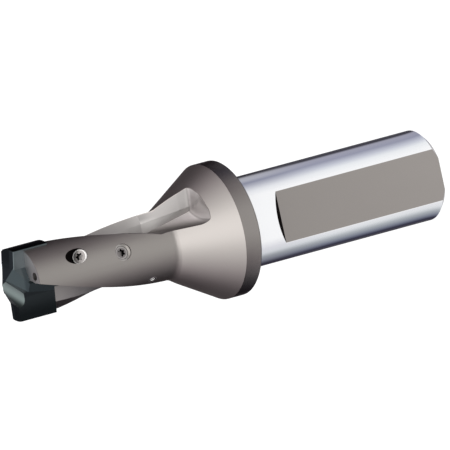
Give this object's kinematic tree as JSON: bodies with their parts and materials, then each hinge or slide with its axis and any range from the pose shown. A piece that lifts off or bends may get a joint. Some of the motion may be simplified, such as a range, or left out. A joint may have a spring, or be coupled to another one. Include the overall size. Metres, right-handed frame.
{
  "type": "replaceable tip drill",
  "caption": "Steel twist drill body with a plain cylindrical shank, clamping flat, flange and cone, helical flutes and a replaceable carbide tip held by a side screw",
  "frame": {"origin": "centre of the shank's end face, on the drill's axis", "axes": "+Z runs along the drill's axis from the shank's end to the cutting tip; -Y is the outward normal of the flat on the shank; +X completes the right-handed frame"},
  "size_m": [0.0298, 0.0298, 0.106],
  "materials": {
    "body": "satin nickel plated tool steel, warm grey",
    "tip": "cemented carbide with a dark blue-grey hard coating",
    "screw": "bright steel with a six-lobed socket",
    "plug": "bright steel with a screwdriver slot"
  },
  "bodies": {
    "root": {"drill_body": "body", "drill_tip": "tip", "clamp_screw": "screw", "ejector_screw": "screw", "coolant_plugs": "plug"}
  },
  "joints": []
}
